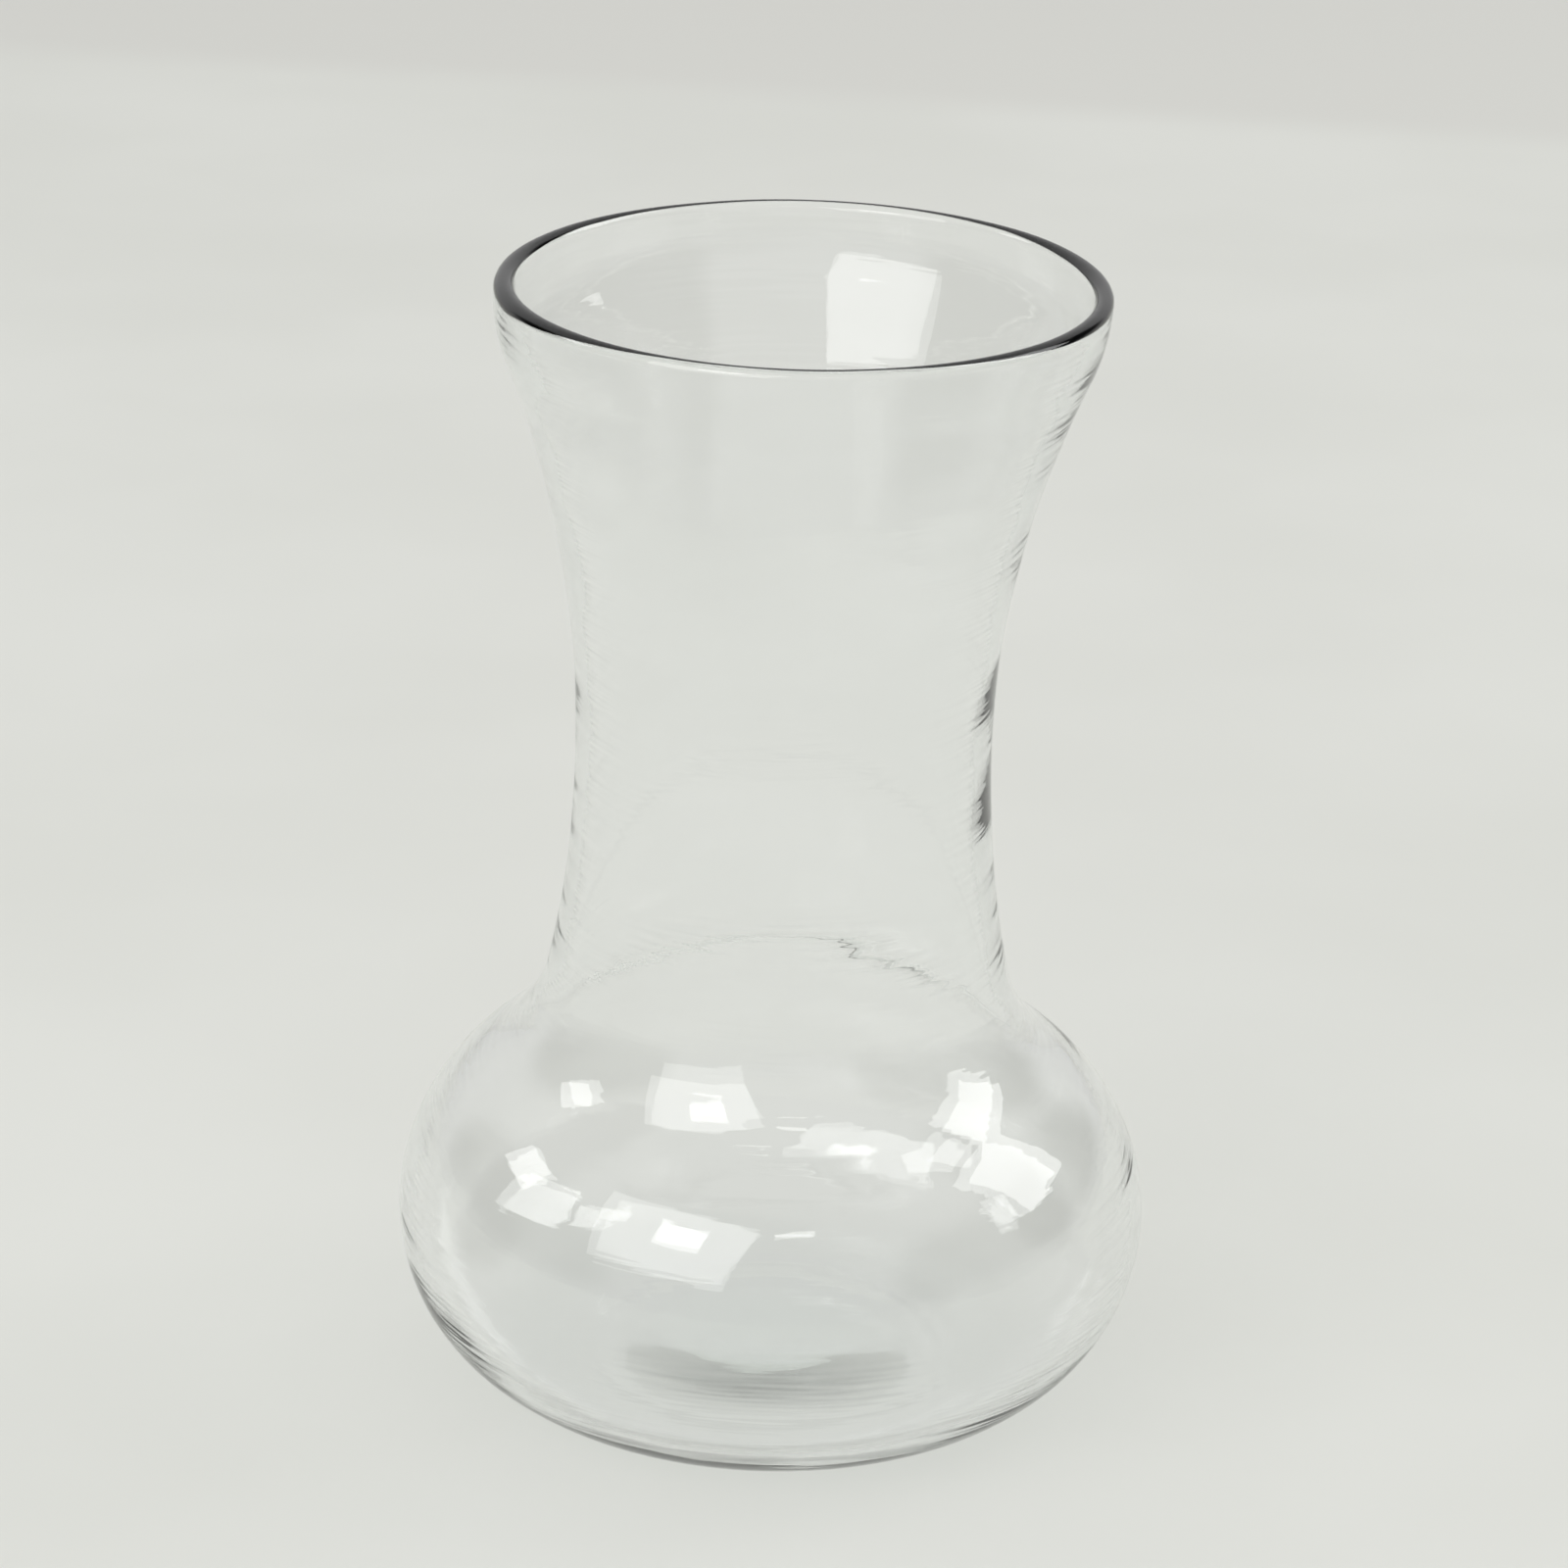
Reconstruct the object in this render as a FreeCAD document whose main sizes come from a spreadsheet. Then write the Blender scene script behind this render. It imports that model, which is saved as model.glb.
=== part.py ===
import FreeCAD, Part
import math
import os
import Sketcher

# Hyacinth forcing vase of clear blown glass, one piece.
# Millimetres, +Z up. The origin is on the vase's axis, on the plane that it stands on.
# The section is one closed loop of tangent arcs, turned about the axis.

# Driving sizes
SIZES = [
    ("overall_height", 146.0, "standing plane to the top of the lip"),
    ("mouth_radius", 37.55, "outside of the lip"),
    ("lip_radius", 1.2, "half-round fire-polished lip"),
    ("roll_radius", 22.5, "outer sweep that turns the flare upright below the lip"),
    ("waist_radius", 26.0, "outside of the neck at its narrowest"),
    ("waist_height", 86.5, "narrowest place above the standing plane"),
    ("neck_sweep_radius", 153.0, "outer sweep from the waist down towards the bulb"),
    ("shoulder_radius", 19.4, "outer hollow between the neck and the bulb"),
    ("bulb_radius", 47.75, "outside of the bulb at its widest"),
    ("bulb_height", 22.7, "widest place above the standing plane"),
    ("dome_radius", 26.4, "outer sweep of the bulb above its widest place"),
    ("neck_wall", 2.0, "glass at the waist"),
    ("bulb_wall", 1.6, "glass at the widest place of the bulb"),
    ("heel_thickness", 2.0, "glass between the standing plane and the lowest inside place"),
    ("ring_width", 2.0, "flat ring that the vase stands on"),
    ("ring_edge_radius", 6.0, "rounded inner edge of the standing ring"),
    ("kick_height", 1.5, "underside above the standing plane, on the axis"),
    ("floor_thickness", 5.0, "glass of the slightly pushed-up base, on the axis"),
]

RIGHT, UP, LEFT, DOWN = 0.0, math.pi / 2, math.pi, 3 * math.pi / 2
FULL_TURN = 360.0


def fill_sheet(doc):
    """Writes the driving sizes into a sheet, one row each: name, value, meaning."""
    sheet = doc.addObject("Spreadsheet::Sheet", "sizes")
    for row, (name, value, meaning) in enumerate(SIZES, start=1):
        sheet.set("A%d" % row, name)
        sheet.set("B%d" % row, str(value))
        sheet.set("C%d" % row, meaning)
        sheet.setAlias("B%d" % row, name)
    doc.recompute()
    return sheet


def bearing(start, end):
    """The angle from one point to another, from nought to a full turn."""
    return math.atan2(end[1] - start[1], end[0] - start[0]) % (2 * math.pi)


def meeting_centre(low, low_distance, high, high_distance):
    """The outer point that lies at given distances from a lower and a higher point."""
    span = math.dist(low, high)
    along = (low_distance ** 2 - high_distance ** 2 + span ** 2) / (2 * span)
    aside = math.sqrt(low_distance ** 2 - along ** 2)
    step = ((high[0] - low[0]) / span, (high[1] - low[1]) / span)
    return (low[0] + step[0] * along - step[1] * aside, low[1] + step[1] * along + step[0] * aside)


def flare_sweep(waist, waist_z, mouth, mouth_z, roll):
    """Radius of the arc that is upright at the waist and runs smoothly into the roll at the mouth."""
    out, up = mouth - waist, mouth_z - waist_z
    return (out ** 2 + up ** 2) / (2 * out) - roll


def crown_radius(centre, radius, crown_z):
    """Radius of the arc that crosses the axis level at crown_z and touches a circle beside it."""
    drop = centre[1] - crown_z
    return (centre[0] ** 2 + drop ** 2 - radius ** 2) / (2 * (radius - drop))


def wall_arcs(waist, waist_z, neck_sweep, shoulder, bulb, bulb_z, dome, mouth, mouth_z, roll):
    """The five arcs of one side of the wall, bulb to mouth, as centre, radius, first and last angle."""
    dome_centre = (bulb - dome, bulb_z)
    neck_centre = (waist + neck_sweep, waist_z)
    hollow_centre = meeting_centre(dome_centre, dome + shoulder, neck_centre, neck_sweep - shoulder)
    flare = flare_sweep(waist, waist_z, mouth, mouth_z, roll)
    flare_centre = (waist + flare, waist_z)
    roll_centre = (mouth - roll, mouth_z)
    dome_end = bearing(dome_centre, hollow_centre)
    neck_start = bearing(neck_centre, hollow_centre)
    flare_end = bearing(flare_centre, roll_centre)
    return {
        "dome": (dome_centre, dome, RIGHT, dome_end),
        "shoulder": (hollow_centre, shoulder, dome_end + math.pi, neck_start),
        "neck": (neck_centre, neck_sweep, neck_start, LEFT),
        "flare": (flare_centre, flare, LEFT, flare_end),
        "roll": (roll_centre, roll, flare_end - math.pi, RIGHT),
    }


class Section:
    """A closed run of arcs and lines in a sketch, each joined to the one before it."""

    def __init__(self, sketch):
        self.sketch = sketch
        self.pieces = {}

    def arc(self, name, centre, radius, first, last):
        """Adds an arc that runs the shorter way from its first angle to its last."""
        turn = (last - first + math.pi) % (2 * math.pi) - math.pi
        self.turned_arc(name, centre, radius, first, turn)

    def turned_arc(self, name, centre, radius, first, turn):
        """Adds an arc by its first angle and its turn, positive anticlockwise."""
        low, high = min(first, first + turn), max(first, first + turn)
        middle = FreeCAD.Vector(centre[0], centre[1], 0)
        circle = Part.Circle(middle, FreeCAD.Vector(0, 0, 1), radius)
        geometry = self.sketch.addGeometry(Part.ArcOfCircle(circle, low, high), False)
        self.pieces[name] = (geometry, 1, 2) if turn > 0 else (geometry, 2, 1)

    def line(self, name, start, end):
        first = FreeCAD.Vector(start[0], start[1], 0)
        last = FreeCAD.Vector(end[0], end[1], 0)
        geometry = self.sketch.addGeometry(Part.LineSegment(first, last), False)
        self.pieces[name] = (geometry, 1, 2)

    def point(self, name, place):
        """Geometry and point number of a piece's first, last or centre point."""
        geometry, first, last = self.pieces[name]
        return geometry, {"first": first, "last": last, "centre": 3}[place]

    def join(self, kind, before, after):
        last, first = self.point(before, "last"), self.point(after, "first")
        self.sketch.addConstraint(Sketcher.Constraint(kind, *last, *first))

    def level(self, name, place):
        """Keeps an end of an arc level with the arc's centre, so that the wall is upright there."""
        end, centre = self.point(name, place), self.point(name, "centre")
        self.sketch.addConstraint(Sketcher.Constraint("Horizontal", *end, *centre))

    def on_axis(self, name, place, axis):
        self.sketch.addConstraint(Sketcher.Constraint("PointOnObject", *self.point(name, place), axis))

    def bind(self, label, constraint, expression):
        """Adds a named size and ties it to the sheet."""
        index = self.sketch.addConstraint(constraint)
        self.sketch.renameConstraint(index, label)
        self.sketch.setExpression("Constraints." + label, expression)

    def radius(self, name, value, expression):
        geometry = self.pieces[name][0]
        self.bind(name + "_radius", Sketcher.Constraint("Radius", geometry, value), expression)

    def offset(self, label, direction, name, place, value, expression):
        """Sets how far a point lies from the origin along X or Y of the sketch."""
        point = self.point(name, place)
        self.bind(label, Sketcher.Constraint(direction, -1, 1, *point, value), expression)


def draw_section(sketch, size):
    """Draws the vase's section at its sizes, so that the constraints start out satisfied."""
    section = Section(sketch)
    across, above = -1, -2
    mouth_z = size["overall_height"] - size["lip_radius"]
    lip_thickness = 2 * size["lip_radius"]
    outer = wall_arcs(size["waist_radius"], size["waist_height"], size["neck_sweep_radius"],
                      size["shoulder_radius"], size["bulb_radius"], size["bulb_height"],
                      size["dome_radius"], size["mouth_radius"], mouth_z, size["roll_radius"])
    inner = wall_arcs(size["waist_radius"] - size["neck_wall"], size["waist_height"],
                      size["neck_sweep_radius"] + size["neck_wall"],
                      size["shoulder_radius"] + size["neck_wall"],
                      size["bulb_radius"] - size["bulb_wall"], size["bulb_height"],
                      size["dome_radius"] - size["bulb_wall"],
                      size["mouth_radius"] - lip_thickness, mouth_z,
                      size["roll_radius"] - lip_thickness)

    # Underside: pushed-up base, rounded edge, flat ring, heel
    ring_outer = size["bulb_radius"] - size["bulb_height"]
    ring_inner = ring_outer - size["ring_width"]
    edge_centre = (ring_inner, size["ring_edge_radius"])
    kick = crown_radius(edge_centre, size["ring_edge_radius"], size["kick_height"])
    kick_centre = (0, size["kick_height"] - kick)
    kick_end = bearing(kick_centre, edge_centre)
    section.arc("kick", kick_centre, kick, UP, kick_end)
    section.arc("ring_edge", edge_centre, size["ring_edge_radius"], kick_end + math.pi, DOWN)
    section.line("ring", (ring_inner, 0), (ring_outer, 0))
    section.arc("heel", (ring_outer, size["bulb_height"]), size["bulb_height"], DOWN, RIGHT)

    # Outside from the bulb to the mouth, the lip, and the inside back down to the bulb
    for name, (centre, radius, first, last) in outer.items():
        section.arc(name, centre, radius, first, last)
    lip_centre = (size["mouth_radius"] - size["lip_radius"], mouth_z)
    section.turned_arc("lip", lip_centre, size["lip_radius"], RIGHT, math.pi)
    for name, (centre, radius, first, last) in reversed(inner.items()):
        section.arc("inner_" + name, centre, radius, last, first)

    # Inside of the base: the hollow of the heel runs into the crown of the floor
    hollow = size["bulb_height"] - size["heel_thickness"]
    hollow_centre = (size["bulb_radius"] - size["bulb_wall"] - hollow, size["bulb_height"])
    floor_z = size["kick_height"] + size["floor_thickness"]
    crown = crown_radius(hollow_centre, hollow, floor_z)
    crown_centre = (0, floor_z - crown)
    crown_start = bearing(crown_centre, hollow_centre)
    section.arc("inner_heel", hollow_centre, hollow, RIGHT, crown_start + math.pi)
    section.arc("floor", crown_centre, crown, crown_start, UP)
    section.line("axis", (0, floor_z), (0, size["kick_height"]))

    # Every arc runs smoothly into the next, and the axis closes the loop
    names = list(section.pieces)
    for before, after in zip(names, names[1:] + names[:1]):
        section.join("Coincident" if "axis" in (before, after) else "Tangent", before, after)
    for place in ("first", "last"):
        section.on_axis("axis", place, above)
        section.on_axis("ring", place, across)
    section.on_axis("kick", "centre", above)
    section.on_axis("floor", "centre", above)

    # The wall is upright at the widest place, at the waist and at the lip
    section.level("heel", "last")
    section.level("neck", "last")
    section.level("roll", "last")
    section.level("lip", "last")
    section.level("inner_flare", "last")
    section.level("inner_dome", "last")

    # Radii
    section.radius("ring_edge", size["ring_edge_radius"], "sizes.ring_edge_radius")
    section.radius("heel", size["bulb_height"], "sizes.bulb_height")
    section.radius("dome", size["dome_radius"], "sizes.dome_radius")
    section.radius("shoulder", size["shoulder_radius"], "sizes.shoulder_radius")
    section.radius("neck", size["neck_sweep_radius"], "sizes.neck_sweep_radius")
    section.radius("roll", size["roll_radius"], "sizes.roll_radius")
    section.radius("lip", size["lip_radius"], "sizes.lip_radius")
    section.radius("inner_roll", inner["roll"][1], "sizes.roll_radius - 2 * sizes.lip_radius")
    section.radius("inner_neck", inner["neck"][1], "sizes.neck_sweep_radius + sizes.neck_wall")
    section.radius("inner_shoulder", inner["shoulder"][1], "sizes.shoulder_radius + sizes.neck_wall")
    section.radius("inner_dome", inner["dome"][1], "sizes.dome_radius - sizes.bulb_wall")
    section.radius("inner_heel", hollow, "sizes.bulb_height - sizes.heel_thickness")

    # Places across
    section.bind("ring_width", Sketcher.Constraint("DistanceX", *section.point("ring", "first"),
                 *section.point("ring", "last"), size["ring_width"]), "sizes.ring_width")
    section.offset("bulb_reach", "DistanceX", "heel", "last", size["bulb_radius"], "sizes.bulb_radius")
    section.offset("waist_reach", "DistanceX", "neck", "last", size["waist_radius"],
                   "sizes.waist_radius")
    section.offset("mouth_reach", "DistanceX", "roll", "last", size["mouth_radius"],
                   "sizes.mouth_radius")
    section.offset("inner_waist_reach", "DistanceX", "inner_flare", "last",
                   size["waist_radius"] - size["neck_wall"], "sizes.waist_radius - sizes.neck_wall")
    section.offset("inner_bulb_reach", "DistanceX", "inner_dome", "last",
                   size["bulb_radius"] - size["bulb_wall"], "sizes.bulb_radius - sizes.bulb_wall")

    # Heights
    section.offset("kick_top", "DistanceY", "axis", "last", size["kick_height"], "sizes.kick_height")
    section.offset("floor_top", "DistanceY", "axis", "first", floor_z,
                   "sizes.kick_height + sizes.floor_thickness")
    section.offset("waist_level", "DistanceY", "neck", "last", size["waist_height"],
                   "sizes.waist_height")
    section.offset("mouth_level", "DistanceY", "lip", "centre", mouth_z,
                   "sizes.overall_height - sizes.lip_radius")
    section.offset("inner_waist_level", "DistanceY", "inner_flare", "last", size["waist_height"],
                   "sizes.waist_height")
    section.offset("inner_bulb_level", "DistanceY", "inner_dome", "last", size["bulb_height"],
                   "sizes.bulb_height")


def origin_plane(body, role):
    """The body's own origin plane with a given role."""
    return next(feature for feature in body.Origin.OriginFeatures if feature.Role == role)


def make_vase(doc, size):
    """The vase as one turned body of glass."""
    body = doc.addObject("PartDesign::Body", "GlassVase")
    body.Label = "glass_vase"
    sketch = body.newObject("Sketcher::SketchObject", "Section")
    sketch.AttachmentSupport = [(origin_plane(body, "XZ_Plane"), "")]
    sketch.MapMode = "FlatFace"
    doc.recompute()
    draw_section(sketch, size)
    doc.recompute()
    turned = body.newObject("PartDesign::Revolution", "Turned")
    turned.Profile = sketch
    turned.ReferenceAxis = (sketch, ["V_Axis"])
    turned.Angle = FULL_TURN
    sketch.Visibility = False
    body.Placement = FreeCAD.Placement()
    doc.recompute()
    return body


def check(doc, bodies):
    """Stops if any object failed or any sub-part is not a sound solid."""
    for item in doc.Objects:
        if "Invalid" in item.State or "Error" in item.State:
            raise RuntimeError("%s did not build: %s" % (item.Label, item.State))
    for body in bodies:
        shape = body.Shape
        if shape.isNull() or not shape.isValid() or len(shape.Solids) != 1:
            raise RuntimeError("%s is not one sound solid" % body.Label)


def main():
    doc = FreeCAD.newDocument("hyacinth_vase")
    sheet = fill_sheet(doc)
    size = {name: float(sheet.get(name)) for name, value, meaning in SIZES}
    bodies = [make_vase(doc, size)]
    check(doc, bodies)
    os.makedirs("parts", exist_ok=True)
    for body in bodies:
        body.Shape.exportStep(os.path.join("parts", body.Label + ".step"))
        box = body.Shape.BoundBox
        print("%s: %.2f x %.2f x %.2f mm, %.0f mm3" % (
            body.Label, box.XLength, box.YLength, box.ZLength, body.Shape.Volume))


main()
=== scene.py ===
import math
import bpy
from mathutils import Euler, Matrix, Vector


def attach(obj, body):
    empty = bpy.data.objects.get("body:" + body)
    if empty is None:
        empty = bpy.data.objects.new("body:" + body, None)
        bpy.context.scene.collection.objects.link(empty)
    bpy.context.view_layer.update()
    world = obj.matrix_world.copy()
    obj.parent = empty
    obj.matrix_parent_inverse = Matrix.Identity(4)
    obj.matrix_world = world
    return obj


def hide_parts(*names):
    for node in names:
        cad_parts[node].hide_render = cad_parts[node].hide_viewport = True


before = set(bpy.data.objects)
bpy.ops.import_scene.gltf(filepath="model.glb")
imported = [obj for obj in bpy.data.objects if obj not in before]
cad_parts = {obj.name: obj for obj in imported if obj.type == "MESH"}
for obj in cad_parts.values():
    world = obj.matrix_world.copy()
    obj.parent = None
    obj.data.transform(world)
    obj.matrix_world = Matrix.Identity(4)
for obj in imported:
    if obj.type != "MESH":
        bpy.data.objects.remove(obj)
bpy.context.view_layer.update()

MM = 0.001

# The vase's section, in millimetres, as the glass was blown
HEIGHT = 146.0
MOUTH_RADIUS = 37.55
LIP_RADIUS = 1.2
ROLL_RADIUS = 22.5
WAIST_RADIUS = 26.0
WAIST_HEIGHT = 86.5
NECK_SWEEP = 153.0
SHOULDER_RADIUS = 19.4
BULB_RADIUS = 47.75
BULB_HEIGHT = 22.7
DOME_RADIUS = 26.4
NECK_WALL = 2.0
BULB_WALL = 1.6
HEEL_THICKNESS = 2.0
RING_WIDTH = 2.0
RING_EDGE_RADIUS = 6.0
KICK_HEIGHT = 1.5
FLOOR_THICKNESS = 5.0

# The mouth leans to the right by this much, growing with the square of the height above the waist
MOUTH_LEAN = 0.98

# Unevenness of the blown wall: spread across, spread up and depth of the ripples and of the broad waves
RIPPLE_SPREAD, RIPPLE_RISE, RIPPLE_DEPTH = 60.0, 4.2, 0.06
WAVE_SPREAD, WAVE_RISE, WAVE_DEPTH = 46.0, 23.0, 0.35
EVEN_BELOW = 3.0

# Fineness of the turned surface
SIDES = 224
STEP = 1.15
LEAST_STEPS = 3
LIP_STEPS = 18

# Camera: distance and elevation from a point on the axis, and how far it is turned off that point
FRAME_PIXELS = 1600
FOCAL_PIXELS = 5700
SENSOR_WIDTH = 36.0
CAMERA_DISTANCE = 703.5
CAMERA_ELEVATION = math.radians(22.25)
CAMERA_TARGET_HEIGHT = 70.0
TURN_UP = math.radians(0.798)
TURN_RIGHT = math.radians(0.017)
CAMERA_ROLL = math.radians(1.63)

# Brightness of the room at eye level, overhead, and where it is dark on either side
EYE_LEVEL, CEILING = 0.78, 0.90
DARK_SIDE = 0.05

# Glass: bending, colour over a length, and the share of light that one face lets through to the table
GLASS_INDEX = 1.52
GLASS_TINT = (0.84, 0.92, 0.89, 1)
GLASS_DENSITY = 30.0
PASSING = 0.965

# Wear: how high the scuffs of the standing ring reach, their grain and haze, and the smudges' size and haze
SCUFF_REACH, SCUFF_GRAIN, SCUFF_LEAST, SCUFF_MOST = 0.3, 900.0, 0.02, 0.16
SMUDGE_GRAIN, SMUDGE_MOST = 55.0, 0.035

# Fine rings: how much closer they lie up the wall than around it, their grain, strength and depth
RINGS_CLOSER, RING_GRAIN, RING_STRENGTH, RING_DEPTH = 16, 32.0, 0.35, 0.12

# Table: the sheet's two tones, and the darker tone beyond a slanted line behind the vase
SHEET_DARK = (0.725, 0.732, 0.690, 1)
SHEET_LIGHT = (0.755, 0.762, 0.722, 1)
FAR_TONE = (0.705, 0.705, 0.668, 1)
MOTTLE_GRAIN = 9.0

# Floor: a hair under the standing ring, and where the darker tone starts behind the vase
FLOOR_DROP = 0.05
FLOOR_SIZE = 8.0
FAR_TONE_START, FAR_TONE_SLANT = 0.642, 0.12


def deselect_all():
    if bpy.context.object and bpy.context.object.mode != "OBJECT":
        bpy.ops.object.mode_set(mode="OBJECT")
    bpy.ops.object.select_all(action="DESELECT")


def bearing(start, end):
    return math.atan2(end[1] - start[1], end[0] - start[0])


def wall_arcs(waist, sweep, shoulder, bulb, dome, mouth, roll):
    """One side of the wall from the widest place of the bulb up to the lip, as (centre, turn) arcs."""
    mouth_z = HEIGHT - LIP_RADIUS
    dome_centre = Vector((bulb - dome, BULB_HEIGHT))
    neck_centre = Vector((waist + sweep, WAIST_HEIGHT))
    step = neck_centre - dome_centre
    low, high = dome + shoulder, sweep - shoulder
    along = (low ** 2 - high ** 2 + step.length_squared) / (2 * step.length)
    aside = math.sqrt(low ** 2 - along ** 2)
    step.normalize()
    hollow_centre = dome_centre + step * along + Vector((-step.y, step.x)) * aside
    out, up = mouth - waist, mouth_z - WAIST_HEIGHT
    flare = (out ** 2 + up ** 2) / (2 * out) - roll
    flare_centre = Vector((waist + flare, WAIST_HEIGHT))
    roll_centre = Vector((mouth - roll, mouth_z))
    dome_turn = bearing(dome_centre, hollow_centre)
    neck_turn = -bearing(hollow_centre, neck_centre)
    flare_turn = bearing(roll_centre, flare_centre)
    return [
        (dome_centre, dome, dome_turn),
        (hollow_centre, shoulder, -dome_turn - neck_turn),
        (neck_centre, sweep, neck_turn),
        (flare_centre, flare, flare_turn),
        (roll_centre, roll, -flare_turn),
    ]


def crown_radius(centre, radius, crown_z):
    """Radius of the arc that crosses the axis level at crown_z and touches a circle beside it."""
    drop = centre.y - crown_z
    return (centre.x ** 2 + drop ** 2 - radius ** 2) / (2 * (radius - drop))


def section_arcs():
    """The whole section from the underside on the axis round to the inside of the base, as arcs."""
    lip_thickness = 2 * LIP_RADIUS
    outer = wall_arcs(WAIST_RADIUS, NECK_SWEEP, SHOULDER_RADIUS, BULB_RADIUS, DOME_RADIUS,
                      MOUTH_RADIUS, ROLL_RADIUS)
    inner = wall_arcs(WAIST_RADIUS - NECK_WALL, NECK_SWEEP + NECK_WALL, SHOULDER_RADIUS + NECK_WALL,
                      BULB_RADIUS - BULB_WALL, DOME_RADIUS - BULB_WALL,
                      MOUTH_RADIUS - lip_thickness, ROLL_RADIUS - lip_thickness)
    ring_outer = BULB_RADIUS - BULB_HEIGHT
    edge_centre = Vector((ring_outer - RING_WIDTH, RING_EDGE_RADIUS))
    kick = crown_radius(edge_centre, RING_EDGE_RADIUS, KICK_HEIGHT)
    kick_centre = Vector((0, KICK_HEIGHT - kick))
    kick_turn = math.pi / 2 - bearing(kick_centre, edge_centre)
    hollow = BULB_HEIGHT - HEEL_THICKNESS
    hollow_centre = Vector((BULB_RADIUS - BULB_WALL - hollow, BULB_HEIGHT))
    floor_z = KICK_HEIGHT + FLOOR_THICKNESS
    crown = crown_radius(hollow_centre, hollow, floor_z)
    crown_centre = Vector((0, floor_z - crown))
    crown_turn = math.pi / 2 - bearing(crown_centre, hollow_centre)
    underside = [
        (kick_centre, kick, -kick_turn),
        (edge_centre, RING_EDGE_RADIUS, kick_turn),
    ]
    heel = [(Vector((ring_outer, BULB_HEIGHT)), BULB_HEIGHT, math.pi / 2)]
    lip = [(Vector((MOUTH_RADIUS - LIP_RADIUS, HEIGHT - LIP_RADIUS)), LIP_RADIUS, math.pi)]
    back_down = [(centre, radius, -turn) for centre, radius, turn in reversed(inner)]
    inside = [
        (hollow_centre, hollow, -math.pi / 2 - crown_turn),
        (crown_centre, crown, crown_turn),
    ]
    return underside, heel + outer + lip + back_down + inside


def spin_arc(centre, radius, turn):
    """Draws an arc of the section from the selected vertex."""
    steps = max(LEAST_STEPS, round(radius * abs(turn) / STEP))
    if radius == LIP_RADIUS:
        steps = LIP_STEPS
    bpy.ops.mesh.spin(steps=steps, angle=turn, center=(centre.x * MM, 0, centre.y * MM), axis=(0, 1, 0))


def keep_one_vertex():
    """Leaves one vertex of the primitive, at the underside's crown, and selects it."""
    mesh = bpy.context.object.data
    bpy.ops.mesh.select_all(action="DESELECT")
    bpy.ops.object.mode_set(mode="OBJECT")
    for vertex in mesh.vertices[1:]:
        vertex.select = True
    bpy.ops.object.mode_set(mode="EDIT")
    bpy.ops.mesh.delete(type="VERT")
    bpy.ops.mesh.select_all(action="SELECT")


def make_vase():
    """The vase, drawn as its section and spun about the axis."""
    deselect_all()
    bpy.ops.mesh.primitive_circle_add(vertices=3, radius=KICK_HEIGHT * MM, location=(0, 0, 0))
    vase = bpy.context.object
    vase.name = vase.data.name = "glass_vase_blown"
    vase.data.vertices[0].co = (0, 0, KICK_HEIGHT * MM)
    bpy.ops.object.mode_set(mode="EDIT")
    bpy.context.tool_settings.mesh_select_mode = (True, False, False)
    keep_one_vertex()
    underside, rest = section_arcs()
    for arc in underside:
        spin_arc(*arc)
    bpy.ops.mesh.extrude_region_move(TRANSFORM_OT_translate={"value": (RING_WIDTH * MM, 0, 0)})
    for arc in rest:
        spin_arc(*arc)
    bpy.ops.mesh.select_all(action="SELECT")
    bpy.ops.mesh.spin(steps=SIDES, angle=2 * math.pi, center=(0, 0, 0), axis=(0, 0, 1))
    bpy.ops.mesh.select_all(action="SELECT")
    bpy.ops.mesh.remove_doubles(threshold=0.005 * MM)
    bpy.ops.mesh.select_all(action="SELECT")
    bpy.ops.mesh.normals_make_consistent(inside=False)
    bpy.ops.object.mode_set(mode="OBJECT")
    bpy.ops.object.shade_smooth()
    return vase


def ripple(vase, name, spread, rise, depth):
    """Pushes the wall in and out by a cloudy pattern, drawn out around the vase."""
    texture = bpy.data.textures.new(name, "CLOUDS")
    texture.noise_scale = spread * MM
    guide = bpy.data.objects.new(name + "_guide", None)
    bpy.context.scene.collection.objects.link(guide)
    guide.scale = (1, 1, rise / spread)
    bpy.context.view_layer.update()
    deselect_all()
    vase.select_set(True)
    bpy.context.view_layer.objects.active = vase
    bpy.ops.object.modifier_add(type="DISPLACE")
    push = vase.modifiers[-1]
    push.name = name
    push.texture = texture
    push.texture_coords = "OBJECT"
    push.texture_coords_object = guide
    push.vertex_group = "uneven_wall"
    push.strength = depth * MM
    bpy.ops.object.modifier_apply(modifier=name)
    bpy.data.objects.remove(guide)


def age_shape(vase):
    """The lean of the mouth and the unevenness that blowing leaves. The standing ring stays flat."""
    rise = HEIGHT - WAIST_HEIGHT
    wall = vase.vertex_groups.new(name="uneven_wall")
    for vertex in vase.data.vertices:
        height = vertex.co.z / MM
        if height > EVEN_BELOW:
            wall.add([vertex.index], min(1.0, (height - EVEN_BELOW) / EVEN_BELOW), "REPLACE")
        if height > WAIST_HEIGHT:
            vertex.co.x += MOUTH_LEAN * MM * ((height - WAIST_HEIGHT) / rise) ** 2
    ripple(vase, "ripples", RIPPLE_SPREAD, RIPPLE_RISE, RIPPLE_DEPTH)
    ripple(vase, "waves", WAVE_SPREAD, WAVE_RISE, WAVE_DEPTH)
    bpy.ops.object.shade_smooth()


def new_material(name):
    material = bpy.data.materials.new(name)
    material.use_nodes = True
    nodes, links = material.node_tree.nodes, material.node_tree.links
    nodes.clear()
    return material, nodes, links


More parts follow.
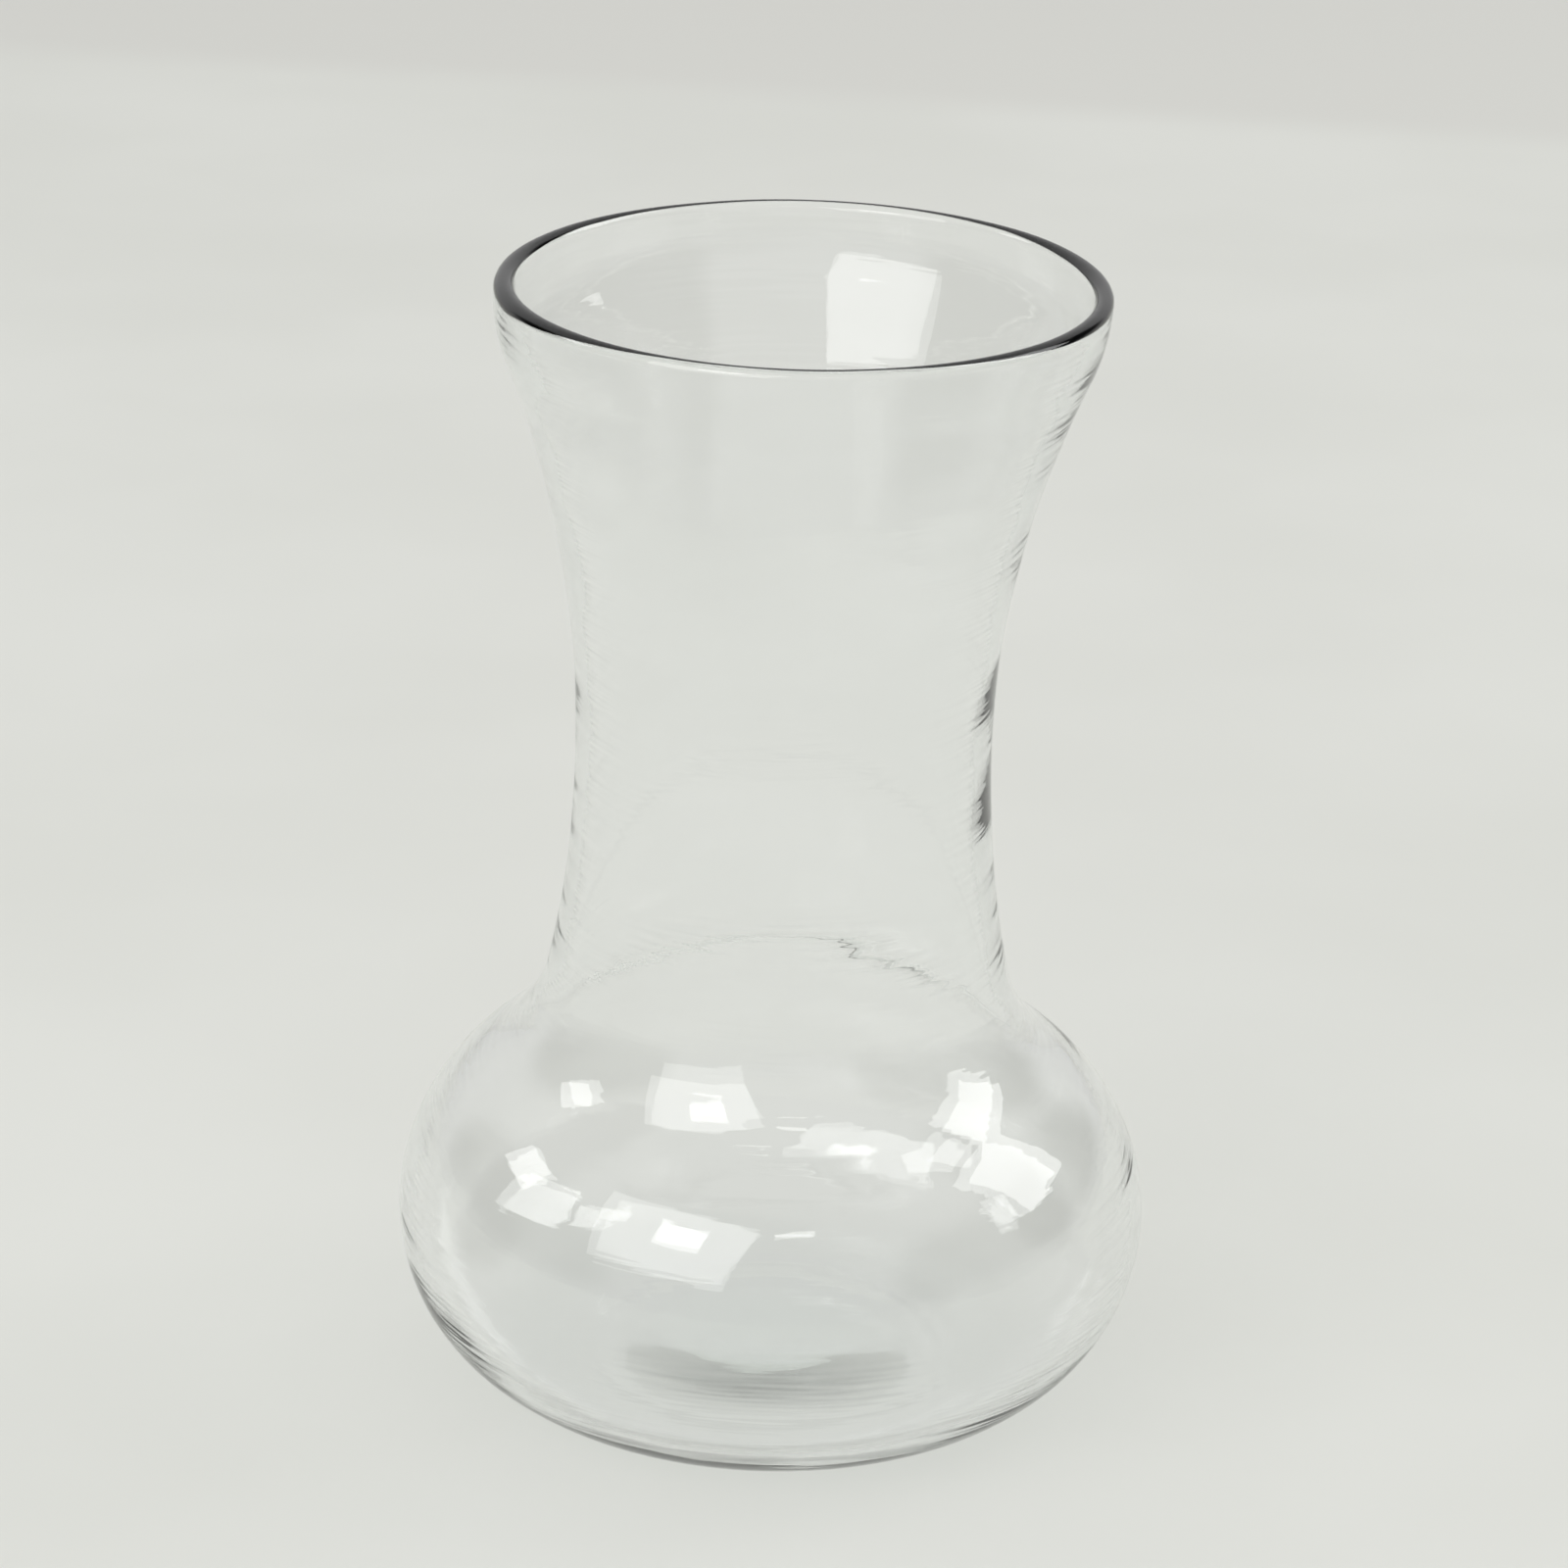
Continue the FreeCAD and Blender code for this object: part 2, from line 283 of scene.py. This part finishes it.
def map_range(nodes, links, source, low, high, to_low, to_high):
    """A smooth step of a value from one range to another."""
    step = nodes.new("ShaderNodeMapRange")
    step.interpolation_type = "SMOOTHSTEP"
    step.inputs["From Min"].default_value = low
    step.inputs["From Max"].default_value = high
    step.inputs["To Min"].default_value = to_low
    step.inputs["To Max"].default_value = to_high
    links.new(source, step.inputs["Value"])
    return step.outputs["Result"]


def multiply(nodes, links, first, second):
    product = nodes.new("ShaderNodeMath")
    product.operation = "MULTIPLY"
    links.new(first, product.inputs[0])
    links.new(second, product.inputs[1])
    return product.outputs["Value"]


def noise(nodes, links, vector, scale, detail):
    """A soft cloudy value."""
    cloud = nodes.new("ShaderNodeTexNoise")
    cloud.inputs["Scale"].default_value = scale
    cloud.inputs["Detail"].default_value = detail
    links.new(vector, cloud.inputs["Vector"])
    return cloud.outputs["Fac"]


def glass_material():
    """Clear soda-lime glass, faintly grey-green where the light runs along the wall."""
    material, nodes, links = new_material("clear_soda_glass")
    output = nodes.new("ShaderNodeOutputMaterial")
    shader = nodes.new("ShaderNodeBsdfPrincipled")
    shader.inputs["Base Color"].default_value = (1, 1, 1, 1)
    shader.inputs["IOR"].default_value = GLASS_INDEX
    shader.inputs["Transmission Weight"].default_value = 1.0
    volume = nodes.new("ShaderNodeVolumeAbsorption")
    volume.inputs["Color"].default_value = GLASS_TINT
    volume.inputs["Density"].default_value = GLASS_DENSITY

    # Standing ring: scuffed to a haze where it has slid about
    place = nodes.new("ShaderNodeTexCoord")
    parts = nodes.new("ShaderNodeSeparateXYZ")
    links.new(place.outputs["Object"], parts.inputs["Vector"])
    ring = map_range(nodes, links, parts.outputs["Z"], 0.0, SCUFF_REACH * MM, 1.0, 0.0)
    scuffs = noise(nodes, links, place.outputs["Object"], SCUFF_GRAIN, 3.0)
    scuffed = map_range(nodes, links, scuffs, 0.4, 0.6, SCUFF_LEAST, SCUFF_MOST)
    worn = multiply(nodes, links, ring, scuffed)

    # Handling: soft smudges on the bulb and neck, too faint to see except against a highlight
    smudges = noise(nodes, links, place.outputs["Object"], SMUDGE_GRAIN, 4.0)
    smudged = map_range(nodes, links, smudges, 0.56, 0.72, 0.0, SMUDGE_MOST)
    haze = nodes.new("ShaderNodeMath")
    haze.operation = "MAXIMUM"
    links.new(worn, haze.inputs[0])
    links.new(smudged, haze.inputs[1])
    links.new(haze.outputs["Value"], shader.inputs["Roughness"])

    # Fine rings left by turning in the mould
    stretch = nodes.new("ShaderNodeMapping")
    stretch.inputs["Scale"].default_value = (1, 1, RINGS_CLOSER)
    links.new(place.outputs["Object"], stretch.inputs["Vector"])
    rings = noise(nodes, links, stretch.outputs["Vector"], RING_GRAIN, 2.0)
    bump = nodes.new("ShaderNodeBump")
    bump.inputs["Strength"].default_value = RING_STRENGTH
    bump.inputs["Distance"].default_value = RING_DEPTH * MM
    links.new(rings, bump.inputs["Height"])
    links.new(bump.outputs["Normal"], shader.inputs["Normal"])

    # Light that only passes through on its way to or from the table isn't bent
    path = nodes.new("ShaderNodeLightPath")
    passing = nodes.new("ShaderNodeMath")
    passing.operation = "MAXIMUM"
    links.new(path.outputs["Is Shadow Ray"], passing.inputs[0])
    links.new(path.outputs["Is Diffuse Ray"], passing.inputs[1])
    clear = nodes.new("ShaderNodeBsdfTransparent")
    clear.inputs["Color"].default_value = (PASSING, PASSING, PASSING, 1)
    surface = nodes.new("ShaderNodeMixShader")
    links.new(passing.outputs["Value"], surface.inputs["Fac"])
    links.new(shader.outputs["BSDF"], surface.inputs[1])
    links.new(clear.outputs["BSDF"], surface.inputs[2])
    links.new(surface.outputs["Shader"], output.inputs["Surface"])
    links.new(volume.outputs["Volume"], output.inputs["Volume"])
    return material


def floor_material():
    """Pale paper, and a slightly darker tone beyond a slanted line behind the vase."""
    material, nodes, links = new_material("pale_paper")
    output = nodes.new("ShaderNodeOutputMaterial")
    shader = nodes.new("ShaderNodeBsdfPrincipled")
    shader.inputs["Roughness"].default_value = 0.9
    shader.inputs["Specular IOR Level"].default_value = 0.2
    place = nodes.new("ShaderNodeTexCoord")
    parts = nodes.new("ShaderNodeSeparateXYZ")
    links.new(place.outputs["Object"], parts.inputs["Vector"])

    # Where the darker tone starts, on a slant, with a soft edge
    slant = nodes.new("ShaderNodeMath")
    slant.operation = "MULTIPLY_ADD"
    slant.inputs[1].default_value = FAR_TONE_SLANT
    links.new(parts.outputs["X"], slant.inputs[0])
    links.new(parts.outputs["Y"], slant.inputs[2])
    behind = map_range(nodes, links, slant.outputs["Value"], FAR_TONE_START, FAR_TONE_START + 0.03, 0.0, 1.0)

    # Paper that isn't quite even
    patches = noise(nodes, links, place.outputs["Object"], MOTTLE_GRAIN, 3.0)
    mottle = map_range(nodes, links, patches, 0.3, 0.7, 0.0, 1.0)
    paper = nodes.new("ShaderNodeMix")
    paper.data_type = "RGBA"
    paper.inputs["A"].default_value = SHEET_DARK
    paper.inputs["B"].default_value = SHEET_LIGHT
    links.new(mottle, paper.inputs["Factor"])
    sheet = nodes.new("ShaderNodeMix")
    sheet.data_type = "RGBA"
    sheet.inputs["B"].default_value = FAR_TONE
    links.new(behind, sheet.inputs["Factor"])
    links.new(paper.outputs["Result"], sheet.inputs["A"])
    links.new(sheet.outputs["Result"], shader.inputs["Base Color"])
    links.new(shader.outputs["BSDF"], output.inputs["Surface"])
    return material


def make_floor():
    deselect_all()
    bpy.ops.mesh.primitive_plane_add(size=FLOOR_SIZE, location=(0, 0, -FLOOR_DROP * MM))
    floor = bpy.context.object
    floor.name = "floor"
    floor.data.materials.append(floor_material())


def make_world():
    """Soft studio surroundings: a bright ceiling, and dark furniture at eye level on either side."""
    world = bpy.data.worlds.new("studio")
    bpy.context.scene.world = world
    world.use_nodes = True
    nodes, links = world.node_tree.nodes, world.node_tree.links
    nodes.clear()
    output = nodes.new("ShaderNodeOutputWorld")
    background = nodes.new("ShaderNodeBackground")
    direction = nodes.new("ShaderNodeTexCoord")
    parts = nodes.new("ShaderNodeSeparateXYZ")
    links.new(direction.outputs["Generated"], parts.inputs["Vector"])
    sky = map_range(nodes, links, parts.outputs["Z"], 0.0, 0.45, EYE_LEVEL, CEILING)
    right = map_range(nodes, links, parts.outputs["X"], 0.50, 0.75, 0.0, 1.0)
    left = map_range(nodes, links, parts.outputs["X"], -0.88, -0.65, 1.0, 0.0)
    side = nodes.new("ShaderNodeMath")
    side.operation = "MAXIMUM"
    links.new(right, side.inputs[0])
    links.new(left, side.inputs[1])
    low = map_range(nodes, links, parts.outputs["Z"], 0.38, 0.72, 1.0, 0.0)
    raised = map_range(nodes, links, parts.outputs["Z"], 0.0, 0.16, 0.4, 1.0)
    band = multiply(nodes, links, low, raised)
    shade = multiply(nodes, links, side.outputs["Value"], band)
    dim = map_range(nodes, links, shade, 0.0, 1.0, 1.0, DARK_SIDE)
    links.new(multiply(nodes, links, sky, dim), background.inputs["Strength"])
    links.new(background.outputs["Background"], output.inputs["Surface"])


# Windows: name, bearing from the front (positive to the right), height angle, distance,
# width, height, brightness
WINDOWS = [
    ("left_window", -36, 36, 2.4, 1.90, 1.50, 2.0),
    ("left_window_sun", -33, 41, 2.35, 0.56, 0.48, 3.5),
    ("left_side_window", -100, 32, 2.4, 0.60, 0.50, 3.2),
    ("right_window", 104, 33, 2.4, 0.95, 1.15, 3.2),
    ("right_high_window", 108, 56, 2.4, 0.60, 0.60, 2.5),
    ("ceiling_strip", 10, 48, 2.4, 0.44, 0.08, 4.0),
]


def make_windows():
    """Lamps that stand in for the windows and lights mirrored in the glass."""
    for name, side, lift, distance, width, height, brightness in WINDOWS:
        data = bpy.data.lights.new(name, "AREA")
        data.shape = "RECTANGLE"
        data.size, data.size_y = width, height
        data.energy = brightness * math.pi * width * height
        lamp = bpy.data.objects.new(name, data)
        bpy.context.scene.collection.objects.link(lamp)
        a, e = math.radians(side), math.radians(lift)
        place = Vector((math.sin(a) * math.cos(e), -math.cos(a) * math.cos(e), math.sin(e))) * distance
        lamp.location = place
        lamp.rotation_euler = place.to_track_quat("Z", "Y").to_euler()


def make_camera():
    """The camera, placed by fitting the vase's outline."""
    data = bpy.data.cameras.new("camera")
    data.sensor_width = SENSOR_WIDTH
    data.lens = FOCAL_PIXELS / FRAME_PIXELS * SENSOR_WIDTH
    camera = bpy.data.objects.new("camera", data)
    bpy.context.scene.collection.objects.link(camera)
    reach = CAMERA_DISTANCE * MM
    camera.location = (0, -reach * math.cos(CAMERA_ELEVATION),
                       reach * math.sin(CAMERA_ELEVATION) + CAMERA_TARGET_HEIGHT * MM)
    tilt = math.pi / 2 - CAMERA_ELEVATION + TURN_UP
    aim = Euler((tilt, 0, -TURN_RIGHT)).to_matrix() @ Matrix.Rotation(CAMERA_ROLL, 3, "Z")
    camera.rotation_euler = aim.to_euler()
    bpy.context.scene.camera = camera


def main():
    make_camera()
    vase = make_vase()
    age_shape(vase)
    vase.data.materials.append(glass_material())
    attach(vase, "root")
    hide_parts("glass_vase")
    make_floor()
    make_world()
    make_windows()
    bpy.context.scene.view_settings.view_transform = "Standard"


main()
